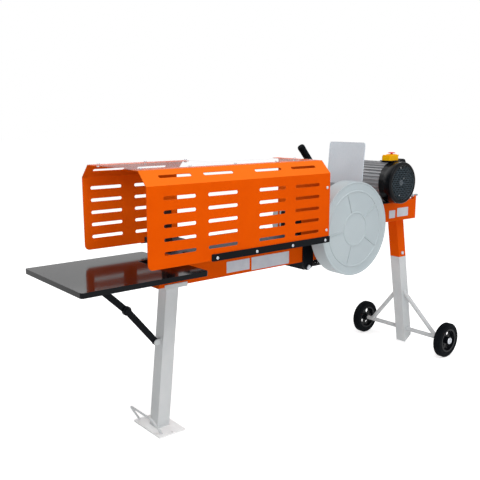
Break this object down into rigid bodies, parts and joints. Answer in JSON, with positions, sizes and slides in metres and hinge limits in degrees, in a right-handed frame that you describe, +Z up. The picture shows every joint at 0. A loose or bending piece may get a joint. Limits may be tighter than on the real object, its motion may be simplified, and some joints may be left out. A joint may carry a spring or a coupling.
{
  "type": "log_splitter",
  "caption": "Electric kinetic log splitter with flywheel, rack ram, fixed wedge, slotted orange guards, folding table, lever, two legs and two wheels.",
  "frame": {"origin": "floor point under the middle of the front foot plate", "axes": "+X from the log end towards the motor, +Y away from the flywheel side, +Z up"},
  "size_m": [1.8682, 0.5296, 0.99],
  "materials": {
    "orange_paint": "smooth orange powder coat",
    "white_paint": "pale grey-white powder coat",
    "pale_grey_paint": "pale grey powder coat",
    "black_paint": "glossy black powder coat",
    "zinc_steel": "zinc-plated steel",
    "bare_steel": "machined steel",
    "cast_iron": "machined grey iron",
    "grey_aluminium": "dark grey painted aluminium",
    "black_plastic": "matte black plastic",
    "black_rubber": "matte black rubber",
    "clear_plastic": "clear plastic sheet",
    "yellow_plastic": "yellow plastic",
    "red_plastic": "red plastic",
    "green_plastic": "green plastic"
  },
  "bodies": {
    "frame": {"main_beam": "orange_paint", "rack_housing": "orange_paint", "rack_guides": "black_plastic", "splitting_wedge": "black_paint", "guard_panel_near": "orange_paint", "guard_panel_far": "orange_paint", "guard_screws": "zinc_steel", "rear_guard_wall": "orange_paint", "clear_top_sheet": "clear_plastic", "log_tray_near": "black_paint", "log_tray_far": "black_paint", "guard_rails": "black_paint", "tray_brackets": "black_paint", "front_leg": "white_paint", "front_foot_plate": "white_paint", "foot_step_bar": "white_paint", "table_hinge": "black_paint", "rear_leg_socket": "orange_paint", "rear_leg": "white_paint", "wheel_axle": "white_paint", "pinion_bearings": "cast_iron", "cover_back_plates": "pale_grey_paint", "drum_cover": "pale_grey_paint", "drive_belt": "black_rubber", "belt_guard_cover": "pale_grey_paint", "motor_housing": "grey_aluminium", "motor_end_bell": "grey_aluminium", "run_capacitor": "black_plastic", "motor_fan_cover": "black_plastic", "motor_base_plate": "black_paint", "frame_fasteners": "zinc_steel", "switch_mount_box": "black_plastic", "switch_housing": "yellow_plastic", "lever_brackets": "black_paint", "motor_shield": "pale_grey_paint", "return_spring": "black_paint"},
    "table": {"table_top": "black_paint"},
    "stay_upper": {"stay_upper_bar": "black_paint"},
    "stay_lower": {"stay_lower_bar": "black_paint"},
    "ram": {"pusher_plate": "black_paint", "pusher_carriage": "black_paint", "carriage_bolt": "zinc_steel"},
    "rack": {"toothed_rack": "bare_steel"},
    "lever": {"lever_arm": "black_paint", "lever_grip": "black_rubber"},
    "roller": {"press_roller": "bare_steel"},
    "flywheel_shaft": {"pinion_shaft": "bare_steel", "flywheel": "cast_iron", "flywheel_pulley": "cast_iron"},
    "motor_rotor": {"motor_rotor": "bare_steel", "cooling_fan": "black_plastic", "motor_pulley": "cast_iron"},
    "near_wheel": {"near_wheel_tyre": "black_rubber", "near_wheel_hub": "black_paint"},
    "far_wheel": {"far_wheel_tyre": "black_rubber", "far_wheel_hub": "black_paint"},
    "switch_lid": {"switch_lid": "yellow_plastic"},
    "stop_button": {"stop_button": "red_plastic"},
    "start_button": {"start_button": "green_plastic"},
    "off_button": {"off_button": "red_plastic"}
  },
  "joints": [
    {"name": "ram_slide", "type": "slide", "parent": "frame", "child": "ram", "axis": [-1, 0, 0], "range_m": [0, 0.545], "stiffness_N_per_m": 100, "springref_m": -0.25, "deforming": ["return_spring"]},
    {"name": "rack_drop", "type": "slide", "parent": "ram", "child": "rack", "axis": [0, 0, -1], "range_m": [0, 0.0075]},
    {"name": "lever_press", "type": "hinge", "parent": "frame", "child": "lever", "pos_m": [0.888, 0, 0.745], "axis": [0, -1, 0], "range_deg": [0, 8.4], "stiffness_Nm_per_rad": 25, "springref_deg": -20.05},
    {"name": "roller_spin", "type": "hinge", "parent": "lever", "child": "roller", "pos_m": [0.831, 0, 0.7156], "axis": [0, 1, 0], "continuous": true},
    {"name": "flywheel_spin", "type": "hinge", "parent": "frame", "child": "flywheel_shaft", "pos_m": [0.831, 0, 0.653], "axis": [0, 1, 0], "continuous": true},
    {"name": "motor_spin", "type": "hinge", "parent": "frame", "child": "motor_rotor", "pos_m": [1.159, 0, 0.815], "axis": [0, 1, 0], "continuous": true},
    {"name": "near_wheel_spin", "type": "hinge", "parent": "frame", "child": "near_wheel", "pos_m": [1.40916, -0.2395, 0.08], "axis": [0, 1, 0], "continuous": true},
    {"name": "far_wheel_spin", "type": "hinge", "parent": "frame", "child": "far_wheel", "pos_m": [1.40916, 0.2395, 0.08], "axis": [0, 1, 0], "continuous": true},
    {"name": "table_fold", "type": "hinge", "parent": "frame", "child": "table", "pos_m": [-0.035, 0, 0.572], "axis": [0, -1, 0], "range_deg": [0, 60]},
    {"name": "stay_lower_swing", "type": "hinge", "parent": "frame", "child": "stay_lower", "pos_m": [-0.007, 0, 0.317], "axis": [0, -1, 0], "range_deg": [-43.1, 0]},
    {"name": "stay_upper_swing", "type": "hinge", "parent": "table", "child": "stay_upper", "pos_m": [-0.2383, 0, 0.566], "axis": [0, -1, 0], "range_deg": [0, 19.8]},
    {"name": "switch_lid_flip", "type": "hinge", "parent": "frame", "child": "switch_lid", "pos_m": [1.1965, -0.072, 0.9293], "axis": [0, 1, 0], "range_deg": [0, 100]},
    {"name": "stop_press", "type": "slide", "parent": "switch_lid", "child": "stop_button", "axis": [0, 0, -1], "range_m": [0, 0.004], "stiffness_N_per_m": 300, "springref_m": -0.002},
    {"name": "start_press", "type": "slide", "parent": "frame", "child": "start_button", "axis": [0, 0, -1], "range_m": [0, 0.003], "stiffness_N_per_m": 300, "springref_m": -0.002},
    {"name": "off_press", "type": "slide", "parent": "frame", "child": "off_button", "axis": [0, 0, -1], "range_m": [0, 0.003], "stiffness_N_per_m": 300, "springref_m": -0.002}
  ],
  "couplings": [
    {"joint": "rack_drop", "follows": "lever_press", "m_per_rad": 0.05109},
    {"joint": "motor_spin", "follows": "flywheel_spin", "ratio": 2.5581},
    {"joint": "stay_lower_swing", "follows": "table_fold", "ratio": -0.7168},
    {"joint": "stay_upper_swing", "follows": "table_fold", "ratio": 0.3281}
  ]
}
